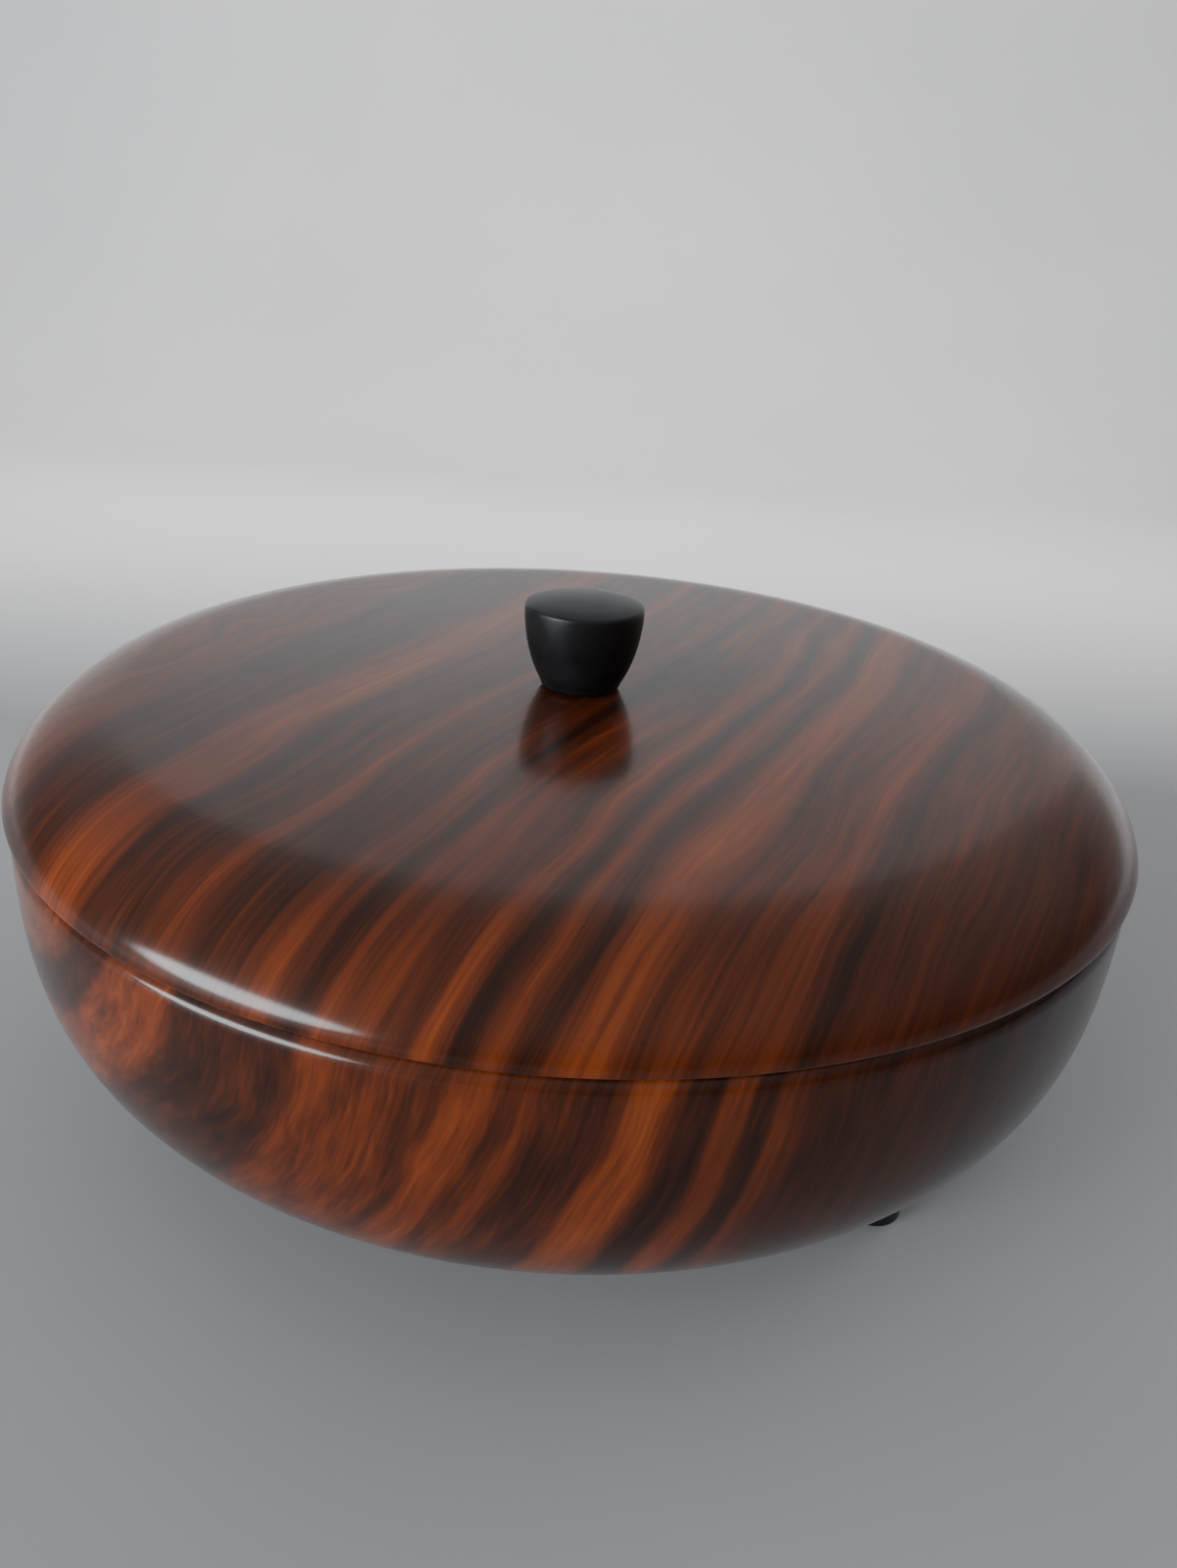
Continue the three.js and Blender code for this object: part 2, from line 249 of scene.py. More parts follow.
# %% The node class
class Nodes:
    def __init__(self, tree):
        self.tree = tree

    def set_sockets(self, made, sockets):
        for name, value in sockets.items():
            socket = made.inputs[name]
            if isinstance(value, Wire):
                self.tree.links.new(value.socket, socket)
            else:
                socket.default_value = value

    def node(self, kind, settings=None, sockets=None, out=0):
        made = self.tree.nodes.new(kind)
        for name, value in (settings or {}).items():
            if name == "stops":
                self.set_stops(made.color_ramp, value)
            else:
                setattr(made, name, value)
        self.set_sockets(made, sockets or {})
        return Wire(self, made.outputs[out])

    def set_stops(self, ramp, stops):
        while len(ramp.elements) < len(stops):
            ramp.elements.new(1)
        for element, (position, colour) in zip(ramp.elements, stops):
            element.position = position
            element.color = (*colour, 1)

    def math(self, operation, *values):
        return self.node("ShaderNodeMath", {"operation": operation}, dict(enumerate(values)))

    def vector(self, x, y, z):
        return self.node("ShaderNodeCombineXYZ", sockets={"X": x, "Y": y, "Z": z})

    def noise(self, at, scale=1, detail=2, roughness=0.5):
        sockets = {"Vector": at, "Scale": scale, "Detail": detail, "Roughness": roughness}
        return self.node("ShaderNodeTexNoise", sockets=sockets, out="Fac")

    def between(self, value, low, high):
        sockets = {"Value": value, "From Min": low, "From Max": high}
        return self.node("ShaderNodeMapRange", {"clamp": True}, sockets)

    def tones(self, value, stops, low, high):
        placed = [((at - low) / (high - low), (tone, tone, tone)) for at, tone in stops]
        return self.colours(self.between(value, low, high), placed)

    def colours(self, value, stops):
        return self.node("ShaderNodeValToRGB", {"stops": stops}, {"Fac": value})

    def mixed(self, factor, first, second):
        settings = {"data_type": "RGBA", "blend_type": "MIX"}
        return self.node("ShaderNodeMix", settings, {0: factor, 6: first, 7: second}, out=2)

    def millimetres(self):
        place = self.node("ShaderNodeTexCoord", out="Object")
        sockets = {"Vector": place, "Scale": 1 / MM}
        scaled = self.node("ShaderNodeVectorMath", {"operation": "SCALE"}, sockets)
        split = self.node("ShaderNodeSeparateXYZ", sockets={"Vector": scaled})
        return [Wire(self, socket) for socket in split.socket.node.outputs]

    def bump(self, height, distance, strength=1.0):
        sockets = {"Height": height, "Distance": distance, "Strength": strength}
        return self.node("ShaderNodeBump", sockets=sockets)


# %% [markdown]
# `Finish` is the tree of one new material. `paint` fills the shader's own sockets, whose names
# are written with underscores in place of spaces.

# %% The finish class
class Finish(Nodes):
    def __init__(self, name):
        self.material = bpy.data.materials.new(name)
        self.material.use_nodes = True
        super().__init__(self.material.node_tree)
        self.shader = self.tree.nodes["Principled BSDF"]

    def paint(self, **sockets):
        named = {name.replace("_", " "): value for name, value in sockets.items()}
        self.set_sockets(self.shader, named)


# %% [markdown]
# ## Rosewood
#
# Rosewood is striped because each year's growth has its own colour, from nearly black to
# orange. The stripes are layers wrapped round the heart of the tree. A flat picture of wood
# laid on the bowl would break at the rim and smear down the side. Here the wood is solid: the
# colour depends on the distance from the heart, so a stripe that meets the rim carries on down
# the side at the slant that a real cut would show.
#
# The grain lies level and points away to the right of straight back. `across` is the distance
# sideways over the grain and `along` the distance down its length. Two slow noises bend the
# layers a few millimetres, and two finer ones, stretched along the grain, draw the streaks
# inside each stripe. All four are read in the layers' own coordinates: how far out, how far
# round the heart and how far along. The finer two start from the bent layers, so the streaks
# follow every bend.
#
# The list of stripes gives a tone from 0, nearly black, to 1, orange, at each distance. It is
# chosen as a turner chooses the face of a blank. One ramp holds 32 stops, so a list
# has no more than that.

# %% The rosewood finish
GRAIN_TURN = 24  # degrees from straight back towards the right
SEAM_MM = RIM_HEIGHT / MM

# Each grain noise has its size outwards in millimetres, its waves for each radian round the
# heart, and its size along in millimetres.
SLOW_GRAIN = (48, 1.4, 80)
QUICK_GRAIN = (14, 5, 34)
FINE_GRAIN = (0.75, 9, 42)
BROAD_GRAIN = (3.1, 6, 48)
SLOW_BEND = 11  # millimetres
QUICK_BEND = 4

STRIPE_SHARE = 0.8
TONE_LIFT = 0.04
FINE_SHARE = 0.55
BROAD_SHARE = 0.7

PORE_WIDTH = 0.32  # millimetres
PORE_LENGTH = 7.5
PORE_SHADE = 0.16

WOOD_COLOURS = [
    (0.0, (0.014, 0.0042, 0.0020)),
    (0.22, (0.036, 0.0085, 0.0030)),
    (0.42, (0.072, 0.0145, 0.0042)),
    (0.62, (0.125, 0.0240, 0.0058)),
    (0.82, (0.190, 0.0385, 0.0082)),
    (1.0, (0.260, 0.0600, 0.0135)),
]


def grain_noise(wood, place, sizes, detail, roughness=0.5):
    outwards, turn, along = place
    at = wood.vector(outwards / sizes[0], turn * sizes[1], along / sizes[2])
    return wood.noise(at, detail=detail, roughness=roughness)


def rosewood(name, grain_turn, heart, stripes, curl=None, shade=None):
    wood = Finish(name)
    x, y, z = wood.millimetres()
    cos, sin = math.cos(math.radians(grain_turn)), math.sin(math.radians(grain_turn))
    across = x * cos - y * sin
    along = x * sin + y * cos
    height = z - SEAM_MM

    sideways = across - heart[0]
    upwards = height - heart[1]
    distance = (sideways * sideways + upwards * upwards) ** 0.5
    round_heart = wood.math("ARCTAN2", upwards, sideways)

    unbent = (distance, round_heart, along)
    slow = grain_noise(wood, unbent, SLOW_GRAIN, detail=1)
    quick = grain_noise(wood, unbent, QUICK_GRAIN, detail=2)
    layer = distance + (slow - 0.5) * SLOW_BEND + (quick - 0.5) * QUICK_BEND
    if curl:
        layer = layer + curl(wood, across, height, along)

    low, high = stripes[0][0], stripes[-1][0]
    stripe = wood.tones(layer, stripes, low, high)
    bent = (layer, round_heart, along)
    fine = grain_noise(wood, bent, FINE_GRAIN, detail=3, roughness=0.6)
    broad = grain_noise(wood, bent, BROAD_GRAIN, detail=2, roughness=0.6)
    tone = stripe * STRIPE_SHARE + TONE_LIFT
    tone = tone + (fine - 0.5) * FINE_SHARE + (broad - 0.5) * BROAD_SHARE
    if shade:
        tone = tone - shade(wood, across, along)

    pore_at = wood.vector(across / PORE_WIDTH, height / PORE_WIDTH, along / PORE_LENGTH)
    open_pore = wood.between(wood.noise(pore_at, detail=1), 0.66, 0.76)
    colour = wood.colours(tone - open_pore * PORE_SHADE, WOOD_COLOURS)
    relief = wood.bump(fine * 0.6 - open_pore, distance=0.02 * MM, strength=0.35)
    wood.paint(Base_Color=colour, Roughness=0.36 + fine * 0.16, Normal=relief)
    wood.paint(Specular_IOR_Level=0.05, Coat_Weight=0.88, Coat_Roughness=0.16, Coat_IOR=1.33)
    return wood.material


# %% [markdown]
# The bowl's blank has its heart up and to the left, so the left of the bowl shows the rings as
# curved bands and the right shows them as fine upright lines.

# %% The bowl's wood
BOWL_HEART = (-75, 20)  # across the grain, and above the seam
BOWL_STRIPES = [
    (0, 0.2), (22, 0.2), (27, 0.7), (37, 0.62), (41, 0.2), (48, 0.22), (50.5, 0.68),
    (64, 0.72), (67.5, 0.2), (87, 0.2), (90, 0.6), (102, 0.52), (112, 0.42), (114, 0.8),
    (119, 0.75), (121, 0.3), (124.5, 0.62), (128, 0.3), (137, 0.3), (139.5, 0.95), (146, 0.88),
    (148.5, 0.15), (152.5, 0.15), (154, 0.8), (157, 0.72), (158.5, 0.15), (160.5, 0.16), (161.5, 0.66),
    (163.5, 0.55), (166, 0.35), (181, 0.28), (206, 0.12),
]
bowl_wood = rosewood("rosewood_bowl", GRAIN_TURN, BOWL_HEART, BOWL_STRIPES)
print("bowl stripes:", len(BOWL_STRIPES))

# %% [markdown]
# The lid comes from another plank, cut farther from the heart, so its stripes are straighter
# and don't quite meet the bowl's at the seam. They are listed by their place across the lid's
# top, and turned into distances from the heart. Far to the left the grain curls, and beside
# the knob there is one dark cloud.

# %% The lid's wood
LID_HEART = (-260, 70)  # across the grain, and above the seam
CURL_BEGINS = -68  # across the grain
CURL_FULL = -92
CURL_BEND = 26
CURL_SIZES = (24, 40, 30)
CLOUD_PLACE = (20, 20)  # across and along the grain
CLOUD_SIZE = (13, 30)
CLOUD_SHADE = 0.42
LID_STRIPES = [
    (-130, 0.45), (-108, 0.55), (-79, 0.5), (-73, 0.18), (-54, 0.22), (-48, 0.7), (-41, 0.82),
    (-36.5, 0.68), (-33, 0.2), (-29, 0.36), (-18, 0.3), (-13, 0.8), (-9, 0.34), (4, 0.32),
    (8, 0.62), (12, 0.55), (14.5, 0.12), (19, 0.65), (26, 0.58), (32, 0.35), (36.5, 0.88),
    (41.5, 0.12), (46.5, 0.88), (51.5, 0.12), (57, 0.95), (61, 0.88), (66, 0.42), (78, 0.58),
    (82, 0.78), (87.5, 0.18), (93, 0.52), (130, 0.42),
]


def curled(wood, across, height, along):
    reach = wood.between(across, CURL_BEGINS, CURL_FULL)
    at = wood.vector(across / CURL_SIZES[0], height / CURL_SIZES[1], along / CURL_SIZES[2])
    return reach * (wood.noise(at, detail=1) - 0.5) * CURL_BEND


def dark_cloud(wood, across, along):
    sideways = (across - CLOUD_PLACE[0]) / CLOUD_SIZE[0]
    lengthways = (along - CLOUD_PLACE[1]) / CLOUD_SIZE[1]
    away = (sideways * sideways + lengthways * lengthways) ** 0.5
    return (1 - wood.between(away, 0.2, 1.2)) * CLOUD_SHADE


lid_top_height = (lid_high.z - RIM_HEIGHT) / MM - LID_HEART[1]
lid_layers = []
for at, tone in LID_STRIPES:
    lid_layers.append((math.hypot(at - LID_HEART[0], lid_top_height), tone))
lid_wood = rosewood("rosewood_lid", GRAIN_TURN, LID_HEART, lid_layers, curled, dark_cloud)
print("lid stripes:", len(lid_layers))

# %% [markdown]
# ## The bowl
#
# In section the bowl is a rounded box: a circle would look too shallow at its sides, and a
# plain cylinder too hard at its foot. The formula of a superellipse gives both a nearly
# upright wall and a soft bottom from one number, the fullness. The inside follows the same
# formula, moved in by the thickness of the wall. The rim's outer edge is well rounded, and
# that rounding is what catches the window's light just below the seam.

# %% The bowl's section
FULLNESS = 3.45
BOWL_WALL = 6.6 * MM
BOWL_FLOOR = 11 * MM
LIP_ROUND = 4.8 * MM
INNER_EASE = 0.7 * MM
BOWL_DEPTH = bowl_high.z - bowl_low.z


def rounded_box(radius, depth, stop, steps):
    last = math.asin((stop / depth) ** (FULLNESS / 2))
    points = [(0, RIM_HEIGHT - depth)]
    for i in range(1, steps + 1):
        angle = math.pi / 2 + (last - math.pi / 2) * (i / steps)
        across = radius * math.cos(angle) ** (2 / FULLNESS)
        down = depth * math.sin(angle) ** (2 / FULLNESS)
        points.append((across, RIM_HEIGHT - down))
    return points


inner_radius = RIM_RADIUS - BOWL_WALL
inner_depth = BOWL_DEPTH - BOWL_FLOOR
outside = rounded_box(RIM_RADIUS, BOWL_DEPTH, LIP_ROUND, steps=60)
inside = rounded_box(inner_radius, inner_depth, INNER_EASE, steps=48)[::-1]
lip = arc(outside[-1][0] - LIP_ROUND, RIM_HEIGHT - LIP_ROUND, LIP_ROUND, 0, 90, steps=14)
ease = arc(inside[0][0] + INNER_EASE, RIM_HEIGHT - INNER_EASE, INNER_EASE, 90, 180, steps=4)
bowl = turned("bowl", outside + lip[1:] + ease[:-1] + inside)
print("bowl:", len(bowl.data.vertices), "vertices")

# %% [markdown]
# Each foot stands in a shallow round socket, and its screw goes up into a pilot hole. The
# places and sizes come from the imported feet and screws. The faces that a boolean cut leaves
# are flat, and they stay out of sight behind the feet.

# %% Sockets for the feet
FIT_GAP = 0.15 * MM
SEAT_GAP = 0.2 * MM
FOOT_NUMBERS = (1, 2, 3)
FOOT_SCREW_RADIUS = 1.7 * MM


def middle(node):
    low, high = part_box(node)
    return ((low.x + high.x) / 2, (low.y + high.y) / 2)


def half_width(node):
    low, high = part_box(node)
    return (high.x - low.x) / 2


tools = []
for number in FOOT_NUMBERS:
    socket_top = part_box(f"foot_{number}")[1].z + SEAT_GAP
    pilot_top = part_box(f"foot_screw_{number}")[1].z + SEAT_GAP
    centre = middle(f"foot_{number}")
    tools.append(rod(half_width(f"foot_{number}") + FIT_GAP, 0, socket_top, centre))
    tools.append(rod(FOOT_SCREW_RADIUS + FIT_GAP, 0, pilot_top, centre))
cut(bowl, tools)
bowl.data.materials.clear()
bowl.data.materials.append(bowl_wood)
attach(bowl, "bowl")
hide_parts("bowl_body")
print("bowl with sockets:", len(bowl.data.polygons), "faces")

# %% [markdown]
# ## The lid
#
# The lid is a shallow cap. Its edge stands upright for little more than a millimetre, leans in
# with a faint crease, and rolls over a broad shoulder onto a top that is almost flat. Below it,
# a thin ring called the spigot drops inside the rim and keeps the lid from sliding off. The
# hollow inside follows the shoulder, so the wood is about as thick everywhere.

# %% The lid's section
SKIRT = 1.3 * MM
DOME = 0.2 * MM
SHOULDER_WIDTH = 24 * MM
SHOULDER_LEAN = math.radians(11)
SHOULDER_STEEP = 0.3  # share of its height that it climbs steeply
SHOULDER_FLAT = 0.62  # share of its width that runs nearly flat
SHOULDER_DROP = 0.05  # share of its height that the flat part falls
EDGE_ROUND = 0.9 * MM
SPIGOT_DEPTH = 5 * MM
SPIGOT_THICKNESS = 4 * MM
SPIGOT_CLEARANCE = 0.6 * MM
SPIGOT_EASE = 0.8 * MM
LID_THICKNESS = 8 * MM
HOLLOW_WIDTH = 20 * MM
HOLLOW_PULL = 0.4  # share of the hollow's width where its curve starts to fall
HOLLOW_STEEP = 0.8  # share of the hollow's height that its side keeps nearly upright
DOME_PULLS = (0.7, 0.35)  # shares of the flat top's radius
CEILING_AT = 0.5  # share of the hollow's flat radius
CEILING_DOME = 0.6  # share of the dome's height there
KNOB_SCREW_HOLE = 1.8 * MM

lid_seat = lid_low.z + SPIGOT_DEPTH
spigot_outer = inner_radius - SPIGOT_CLEARANCE
spigot_inner = spigot_outer - SPIGOT_THICKNESS
rise = lid_high.z - lid_seat - DOME
climb = rise - SKIRT
steep = SHOULDER_STEEP * climb
shoulder_end = LID_RADIUS - SHOULDER_WIDTH

edge = arc(LID_RADIUS - EDGE_ROUND, EDGE_ROUND, EDGE_ROUND, -90, 0, steps=6)
shoulder = sweep(
    (LID_RADIUS, SKIRT),
    (LID_RADIUS - steep * math.tan(SHOULDER_LEAN), SKIRT + steep),
    (shoulder_end + SHOULDER_FLAT * SHOULDER_WIDTH, rise - SHOULDER_DROP * climb),
    (shoulder_end, rise),
    steps=36,
)
dome = sweep(
    (shoulder_end, rise),
    (DOME_PULLS[0] * shoulder_end, rise + 0.5 * DOME),
    (DOME_PULLS[1] * shoulder_end, rise + DOME),
    (KNOB_SCREW_HOLE, rise + DOME),
    steps=24,
)
roof = rise - LID_THICKNESS
hollow_start = spigot_inner - HOLLOW_WIDTH
hollow = sweep(
    (hollow_start, roof),
    (spigot_inner - HOLLOW_PULL * HOLLOW_WIDTH, roof),
    (spigot_inner, HOLLOW_STEEP * roof),
    (spigot_inner, 0),
    steps=20,
)
ceiling = [(KNOB_SCREW_HOLE, roof + DOME), (CEILING_AT * hollow_start, roof + CEILING_DOME * DOME)]
ease_height = SPIGOT_EASE - SPIGOT_DEPTH
spigot = arc(spigot_inner + SPIGOT_EASE, ease_height, SPIGOT_EASE, 180, 270, steps=4)
spigot += arc(spigot_outer - SPIGOT_EASE, ease_height, SPIGOT_EASE, -90, 0, steps=4)
lid_section = ceiling + hollow + spigot + [(spigot_outer, 0)] + edge + shoulder + dome[1:]
lid = turned("lid_shell", raised(lid_section, lid_seat), closed=True)
lid.data.materials.append(lid_wood)
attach(lid, "lid")
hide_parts("lid")
print("lid:", len(lid.data.vertices), "vertices")

# %% [markdown]
# ## Satin black
#
# The knob and the feet are turned, dyed and waxed to a satin black. Nothing real is perfectly
# black or perfectly even: fine rings from the lathe catch the light, the sheen drifts a little
# where fingers have polished it, and a trace of dust sits in the pores. All three are small,
# because the piece has to read as plain black.

# %% The satin black finish
BLACK = (0.0045, 0.0045, 0.0052)
WORN_BLACK = (0.0085, 0.0088, 0.0100)
DUST = (0.045, 0.045, 0.047)
DUST_COVER = 0.3
LATHE_RINGS = 1.9  # for each millimetre


def satin_black(name, centre):
    black = Finish(name)
    x, y, z = black.millimetres()
    from_axis = ((x - centre[0] / MM) ** 2 + (y - centre[1] / MM) ** 2) ** 0.5
    place = black.vector(x, y, z)
    cloud = black.noise(place, scale=0.16, detail=3)
    speck = black.noise(place, scale=2.6, detail=2)
    rings = black.noise(black.vector(from_axis * LATHE_RINGS, z * LATHE_RINGS, 0), detail=2)
    dust = black.between(speck, 0.68, 0.8)
    base = black.colours(cloud, [(0.3, BLACK), (0.7, WORN_BLACK)])
    colour = black.mixed(dust * DUST_COVER, base, (*DUST, 1))
    relief = black.bump(rings * 0.7 + speck * 0.3, distance=0.02 * MM, strength=0.3)
    black.paint(Base_Color=colour, Roughness=0.33 + cloud * 0.12 + dust * 0.2, Normal=relief)
    black.paint(Specular_IOR_Level=0.34)
    return black.material


# %% [markdown]
# ## The knob
#
# The knob is a small cup: narrow where it meets the lid, swelling quickly, then nearly upright
# below a thin bevel. Its top is slightly crowned. A brass insert sits in a bore from below, and
# a screw comes up through the lid and a washer to hold it.

# %% The knob
knob_low, knob_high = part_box("knob")
KNOB_BASE = 9.7 * MM
KNOB_BELLY = 0.7  # 0 is a straight taper
LOWER_PULL = 0.4  # how far the belly moves each handle out
UPPER_PULL = 0.5
LOWER_HANDLE = 0.3  # shares of the side's height
UPPER_HANDLE = 0.66
THIRD = 0.33
CROWN_RINGS = (0.86, 0.7, 0.5, 0.3, 0.15, 0)  # shares of the radius
KNOB_CROWN = 1.5 * MM
KNOB_BEVEL = 0.9 * MM
KNOB_EASE = 1.4 * MM
knob_radius = knob_high.x
knob_height = knob_high.z - knob_low.z - KNOB_CROWN
bore = half_width("knob_insert") + FIT_GAP
bore_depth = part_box("knob_insert")[1].z - knob_low.z + SEAT_GAP
side_top = knob_height - KNOB_BEVEL
flare = knob_radius - KNOB_BASE
side = sweep(
    (KNOB_BASE, KNOB_EASE),
    (KNOB_BASE + (THIRD + LOWER_PULL * KNOB_BELLY) * flare, LOWER_HANDLE * side_top),
    (knob_radius - (THIRD - UPPER_PULL * KNOB_BELLY) * flare, UPPER_HANDLE * side_top),
    (knob_radius, side_top),
    steps=24,
)
base_ease = arc(KNOB_BASE - KNOB_EASE, KNOB_EASE, KNOB_EASE, -90, -20, steps=5)
bevel = arc(knob_radius - KNOB_BEVEL, side_top, KNOB_BEVEL, 0, 78, steps=7)
crown = []
for share in CROWN_RINGS:
    crown.append((knob_radius * share, knob_height + KNOB_CROWN * (1 - share * share)))
bore_section = [(0, bore_depth), (bore, bore_depth), (bore, 0)]
knob_section = bore_section + base_ease + side + bevel[1:] + crown
knob = turned("knob_cup", raised(knob_section, knob_low.z), SMALL_TURNS)
knob.data.materials.append(satin_black("satin_black_knob", (0, 0)))
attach(knob, "lid")
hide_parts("knob")
print("knob width, mm:", round(2 * knob_radius / MM, 1))
print("knob height, mm:", round((knob_height + KNOB_CROWN) / MM, 1))

# %% [markdown]
# ## Metal
#
# Small turned metal parts show two things: a brushed sheen of fine rings round the axis, and
# slightly dull, stained patches. Both metals share one function, because they differ only in
# colour and in how dull the patches are. The rings change the roughness as well as the bump, so
# the sheen stays brushed at any distance.

# %% The metal finishes
METAL_RINGS = 5  # for each millimetre
STAIN_COVER = 0.8


def turned_metal(name, bright, dull, centre, roughness):
    metal = Finish(name)
    x, y, z = metal.millimetres()
    from_axis = ((x - centre[0] / MM) ** 2 + (y - centre[1] / MM) ** 2) ** 0.5
    rings = metal.noise(metal.vector(from_axis * METAL_RINGS, z * METAL_RINGS, 0), detail=2)
    stain = metal.noise(metal.vector(x, y, z), scale=0.45, detail=4, roughness=0.6)
    patch = metal.between(stain, 0.42, 0.68)
    colour = metal.mixed(patch * STAIN_COVER, (*bright, 1), (*dull, 1))
    relief = metal.bump(rings, distance=0.03 * MM, strength=0.25)
    brushed = roughness + rings * 0.12 + patch * 0.16
    metal.paint(Base_Color=colour, Roughness=brushed, Normal=relief, Metallic=1.0)
    return metal.material


STEEL = (0.62, 0.63, 0.65)
DULL_STEEL = (0.40, 0.41, 0.42)
BRASS = (0.72, 0.52, 0.22)
DULL_BRASS = (0.48, 0.32, 0.13)
STEEL_ROUGHNESS = 0.2
BRASS_ROUGHNESS = 0.22
knob_steel = turned_metal("zinc_steel_knob", STEEL, DULL_STEEL, (0, 0), STEEL_ROUGHNESS)
brass = turned_metal("brass", BRASS, DULL_BRASS, (0, 0), BRASS_ROUGHNESS)

# %% [markdown]
# ## Screws and washer
#
# A slotted screw is turned like everything else, standing on its head, and then the slot is cut
# across it. The grooves stand in for a thread, which would be hidden in the wood anyway. The
# washer has eased edges, because a real one is stamped and tumbled. The insert keeps its packed
# shape, since it is sealed inside the knob, and only takes the brass.

# %% Screws and washer
PITCH = 1.4 * MM
THREAD_SHARE = 0.18
SLOT_WIDTH_SHARE = 0.3
SLOT_DEPTH_SHARE = 0.45
SLOT_LENGTH_SHARE = 3  # of the head's radius, so the slot runs right across
HEAD_CURVE = ((0.5, 0.03), (0.78, 0.14), (0.93, 0.4), (1, 0.8))  # shares of radius and height
TIP_SHARE = 0.4
KNOB_SCREW_RADIUS = 1.5 * MM
KNOB_SCREW_HEAD = 2.2 * MM
KNOB_SCREW_THREAD = 9.5 * MM
FOOT_SCREW_HEAD = 2.4 * MM


def slot_tool(width, length, depth, centre, bottom):
    data = bpy.data.meshes.new("slot_tool")
    corners = [(i, j, k) for k in (-1, 1) for j in (-1, 1) for i in (-1, 1)]
    points = []
    for i, j, k in corners:
        points.append((centre[0] + i * width / 2, centre[1] + j * length / 2, bottom + k * depth))
    faces = [(0, 2, 3, 1), (4, 5, 7, 6), (0, 1, 5, 4), (2, 6, 7, 3), (0, 4, 6, 2), (1, 3, 7, 5)]
    data.from_pydata(points, [], faces)
    tool = bpy.data.objects.new("slot_tool", data)
    bpy.context.collection.objects.link(tool)
    return tool


def screw(name, node, radius, head_height, thread):
    low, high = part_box(node)
    centre = middle(node)
    head = half_width(node)
    seat = low.z + head_height
    tip = high.z
    groove = THREAD_SHARE * radius
    section = [(0, low.z)]
    for share, up in HEAD_CURVE:
        section.append((share * head, low.z + up * head_height))
    section += [(head, seat), (radius, seat)]
    height = tip - thread
    while height + PITCH < tip - radius:
        section += [(radius, height), (radius - groove, height + 0.5 * PITCH)]
        height += PITCH
    section += [(radius, tip - radius), (TIP_SHARE * radius, tip), (0, tip)]
    piece = turned(name, section, SMALL_TURNS // 2, centre=centre)
    width, length = SLOT_WIDTH_SHARE * head, SLOT_LENGTH_SHARE * head
    cut(piece, [slot_tool(width, length, SLOT_DEPTH_SHARE * head_height, centre, low.z)])
    return piece


knob_screw = screw(
    "knob_bolt", "knob_screw", KNOB_SCREW_RADIUS, KNOB_SCREW_HEAD, KNOB_SCREW_THREAD)
washer_low, washer_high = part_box("knob_washer")
washer_thick = washer_high.z - washer_low.z
WASHER_EASE = 0.3 * MM
rim = washer_high.x - WASHER_EASE
washer_section = [(KNOB_SCREW_HOLE, washer_low.z)]
washer_section += arc(rim, washer_low.z + WASHER_EASE, WASHER_EASE, -90, 0, steps=4)
washer_section += arc(rim, washer_high.z - WASHER_EASE, WASHER_EASE, 0, 90, steps=4)
washer_section += [(KNOB_SCREW_HOLE, washer_high.z)]
washer = turned("washer", washer_section, SMALL_TURNS, closed=True)
for piece, node in ((knob_screw, "knob_screw"), (washer, "knob_washer")):
    piece.data.materials.clear()
    piece.data.materials.append(knob_steel)
    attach(piece, "lid")
    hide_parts(node)
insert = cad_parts["knob_insert"]
insert.material_slots[0].material = brass
print("washer:", round(washer_thick / MM, 2), "mm thick")

# %% [markdown]
# ## Felt
#
# The pads are pressed felt: short fibres lying in every direction. Two noises make it. A fine
# one, stretched different ways, gives the fibres, and a slower one gives the thin and thick
# places. A strong bump and a very rough surface take away every highlight.

# %% The felt finish
FIBRE_LENGTHWAYS = 2.2  # waves for each millimetre
FIBRE_SIDEWAYS = 9
DARK_FELT = (0.012, 0.012, 0.013)
PALE_FELT = (0.060, 0.060, 0.064)

felt = Finish("felt")
felt_x, felt_y, felt_z = felt.millimetres()
felt_depth = felt_z * FIBRE_SIDEWAYS
lying_at = felt.vector(felt_x * FIBRE_LENGTHWAYS, felt_y * FIBRE_SIDEWAYS, felt_depth)
crossing_at = felt.vector(felt_x * FIBRE_SIDEWAYS, felt_y * FIBRE_LENGTHWAYS, felt_depth)
lying = felt.noise(lying_at, detail=2)
crossing = felt.noise(crossing_at, detail=2)
thick = felt.noise(felt.vector(felt_x, felt_y, felt_z), scale=0.7, detail=3)
fibre = felt.math("MAXIMUM", lying, crossing)
felt_tone = fibre * 0.7 + thick * 0.3
felt_colour = felt.colours(felt_tone, [(0.35, DARK_FELT), (0.7, PALE_FELT)])
felt_relief = felt.bump(fibre, distance=0.25 * MM, strength=0.8)
felt.paint(Base_Color=felt_colour, Roughness=0.85 + thick * 0.15, Normal=felt_relief)
felt.paint(Specular_IOR_Level=0.15)

# %% [markdown]
# ## The feet
#
# Each foot is a short tapered peg with a counterbore for its screw and a shallow recess for its
# pad. All three are made by one loop, and each gets its finish with the rings centred on its own
# axis. The pad bulges a little at its edge, as felt does under a load.

# %% The feet
FOOT_BOTTOM_RADIUS = 6.6 * MM
FOOT_BOTTOM_EASE = 0.7 * MM
FOOT_TOP_EASE = 0.3 * MM
FOOT_GRIP = 8 * MM
SCREW_CLEARANCE = 0.3 * MM
HEAD_CLEARANCE = 0.4 * MM
PAD_EASE = 0.35 * MM
PAD_TAPER = 0.1 * PAD_EASE


